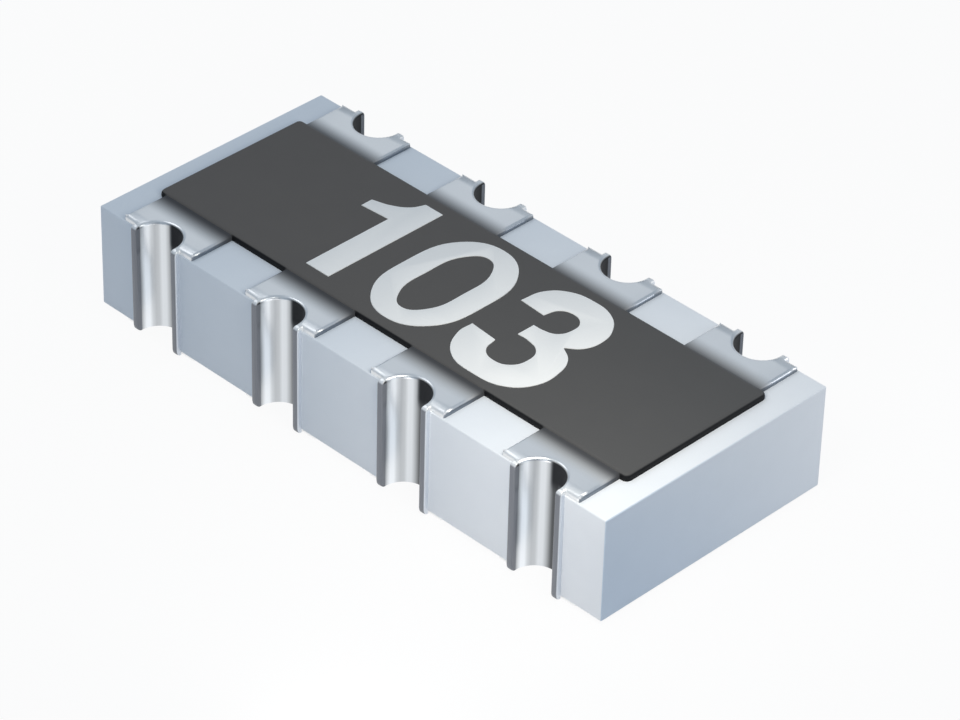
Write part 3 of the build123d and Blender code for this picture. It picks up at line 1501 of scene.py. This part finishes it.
@dataclass
class Studio:
    """A pale floor, soft lamps and the camera at the photograph's viewing angle.

    Args:
        chip: The shared sizes.
        room: Colour of the room's light.
        lamps: The softboxes.
        floor_radius: Of the floor, in millimetres.
        floor_sides: Of the floor.
        paper: Brightness of the floor as it lights the chip.
        seen_paper: Brightness of the floor as it is seen.
        white_share: Share of plain white in the floor as it is seen.
        azimuth: Of the camera, in degrees from the near side towards the right.
        elevation: Of the camera, in degrees.
        roll: Of the camera, in degrees.
        distance: From the chip's middle to the camera, in millimetres.
        slide: The camera's shift to the right and up, in millimetres.
        drop: How far below the block's middle it aims, in millimetres.
        lens: In millimetres.
        sensor: Its width in millimetres.
        clip: Nearest and furthest distance that it sees, in millimetres.
    """

    chip: ChipLayout
    room: Colour = (0.323, 0.383, 0.45)
    lamps: tuple[Lamp, ...] = (
        Lamp("key", (2.6, -1.35, 3.4), 2.0, 1.52, (1.0, 0.97, 0.89)),
        Lamp("front", (2.2, -3.2, 0.7), 1.0, 0.85, (1.0, 0.95, 0.92)),
        Lamp("side", (4.5, 3.5, 1.4), 1.5, 1.10, (0.97, 0.97, 1.0)),
        Lamp("back", (-19.0, 20.0, 20.5), 22.0, 0.082, (1.0, 0.98, 0.945)),
        Lamp("glint", (-9.0, -3.5, 13.0), 7.5, 0.42, (0.97, 0.98, 1.0)),
    )
    floor_radius: float = 400.0
    floor_sides: int = 64
    paper: float = 0.80
    seen_paper: float = 0.95
    white_share: float = 0.93
    azimuth: float = 44.172
    elevation: float = 36.017
    roll: float = 1.620
    distance: float = 30.896
    slide: tuple[float, float] = (0.191, -0.120)
    drop: float = 0.0009
    lens: float = 164.02
    sensor: float = 36.0
    clip: tuple[float, float] = (1.0, 2000.0)

    def world(self) -> None:
        """Sets the room's plain, slightly cool light."""
        world = bpy.data.worlds.new("room")
        bpy.context.scene.world = world
        world.use_nodes = True
        back = world.node_tree.nodes["Background"]
        back.inputs["Color"].default_value = opaque(self.room)
        back.inputs["Strength"].default_value = 1.0

    def floor_material(self) -> bpy.types.Material:
        """Makes the floor's paper, which looks white and keeps the chip's shadow.

        Returns:
            The material.
        """
        material = bpy.data.materials.new("pale_floor")
        material.use_nodes = True
        material.node_tree.nodes.clear()
        board = NodeBoard(material.node_tree)
        rays = board.add("ShaderNodeLightPath").outputs
        seen = rays[Rays.CAMERA.value]
        for kind in (Rays.GLOSSY, Rays.TRANSMISSION):
            seen = board.math("MAXIMUM", seen, rays[kind.value])
        paper = board.add("ShaderNodeBsdfDiffuse")
        shades = ((shade, shade, shade) for shade in (self.paper, self.seen_paper))
        board.feed(paper.inputs["Color"], board.mix(seen, *shades))
        white = board.add("ShaderNodeEmission")
        board.feed(white.inputs["Strength"], 1.0)
        blend = board.add("ShaderNodeMixShader")
        sources = (board.times(seen, self.white_share), paper.outputs[0], white.outputs[0])
        for socket, source in zip(blend.inputs, sources):
            board.feed(socket, source)
        board.feed(board.add("ShaderNodeOutputMaterial").inputs[0], blend.outputs[0])
        return material

    def floor(self) -> None:
        """Lays the floor."""
        bm = bmesh.new()
        radius = self.floor_radius * MM
        bmesh.ops.create_circle(bm, cap_ends=True, radius=radius, segments=self.floor_sides)
        mesh = bpy.data.meshes.new("floor")
        bm.to_mesh(mesh)
        bm.free()
        mesh.materials.append(self.floor_material())
        floor = put("floor", mesh)

    def camera(self) -> None:
        """Sets up the camera at the photograph's viewing angle."""
        azimuth, elevation, roll = (
            math.radians(angle) for angle in (self.azimuth, self.elevation, self.roll)
        )
        reach = math.cos(elevation)
        back = Vector(
            (math.sin(azimuth) * reach, -math.cos(azimuth) * reach, math.sin(elevation))
        )
        level = Vector((math.cos(azimuth), math.sin(azimuth), 0.0))
        right = math.cos(roll) * level + math.sin(roll) * back.cross(level)
        up = back.cross(right)
        aim = Vector((0.0, 0.0, (self.chip.underside + self.chip.top) / 2 - self.drop))
        spot = aim + self.distance * back + self.slide[0] * right + self.slide[1] * up
        data = bpy.data.cameras.new("camera")
        data.lens, data.sensor_width = self.lens, self.sensor
        data.clip_start, data.clip_end = (distance * MM for distance in self.clip)
        camera = put("camera", data)
        turn = Matrix((right, up, back)).transposed().to_4x4()
        camera.matrix_world = Matrix.Translation(spot * MM) @ turn
        bpy.context.scene.camera = camera

    def build(self) -> None:
        """Sets up the whole studio."""
        self.world()
        for lamp in self.lamps:
            lamp.hang()
        self.floor()
        self.camera()
        bpy.context.scene.view_settings.view_transform = "Standard"
        log.info("studio: floor, %d softboxes and the camera", len(self.lamps))


def finishes(chip: ChipLayout) -> dict[str, Finish]:
    """Lists the solids' finishes.

    Args:
        chip: The shared sizes.

    Returns:
        The finishes by the record's slot.
    """
    made = (
        AluminaFinish(
            "fired_alumina",
            (0.91, 0.92, 0.94),
            "alumina",
            grain=90.0,
            spread=0.03,
            # Painted shade, deeper towards the left end.
            painted_falloff=(0.88, 0.92, 0.96),
            half=chip.length / 2,
        ),
        ResinFinish(
            "printed_resin",
            (0.091, 0.088, 0.086),
            "overcoat_resin",
            roughness=0.65,
            grain=70.0,
            spread=0.06,
            specular=0.25,
            # Painted light, brighter towards the left end, against the lamps' falloff.
            painted_falloff=(1.42, 1.34, 1.27),
            half=chip.coat_length / 2,
            chip=chip,
        ),
        Finish("green_glass", (0.25, 0.40, 0.30), "undercoat_glass", roughness=0.2, grain=40.0),
        Finish("ruthenium_film", (0.05, 0.05, 0.055), "resistor_film", 0.45, spread=0.10),
        Finish("matt_silver", (0.85, 0.85, 0.84), "fired_silver", 0.45, 1.0, relief=0.0008),
        Finish("bright_nickel", (0.68, 0.66, 0.62), "nickel_plate", 0.35, 1.0),
        TinFinish(
            "satin_tin",
            (0.92, 0.92, 0.92),
            "tin_plate",
            roughness=0.32,
            metallic=1.0,
            relief=0.0003,
            chip=chip,
        ),
    )
    return {finish.slot: finish for finish in made}


def main() -> None:
    """Builds the chip's looks and the studio, piece by piece."""
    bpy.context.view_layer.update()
    chip = ChipLayout.read()
    log.info("chip: %s", chip)
    groups = Groups(grain_group(), terminal_group(chip))
    materials = {slot: finish.build(groups) for slot, finish in finishes(chip).items()}
    ink = Finish("code_ink", (0.98, 0.96, 0.93), "overcoat_resin", spread=0.03).build(groups)
    for row in frame["record"]["subparts"]:
        node = frame["nodes"][row["node"]]
        node.data.materials.clear()
        node.data.materials.append(materials[row["material_slot"]])
    Substrate(chip).build(materials["alumina"])
    Overcoat(chip).build(materials["overcoat_resin"])
    Terminal(chip).build(materials["tin_plate"])
    ValueCode(chip).build(ink)
    Studio(chip).build()


if __name__ == "__main__":
    main()
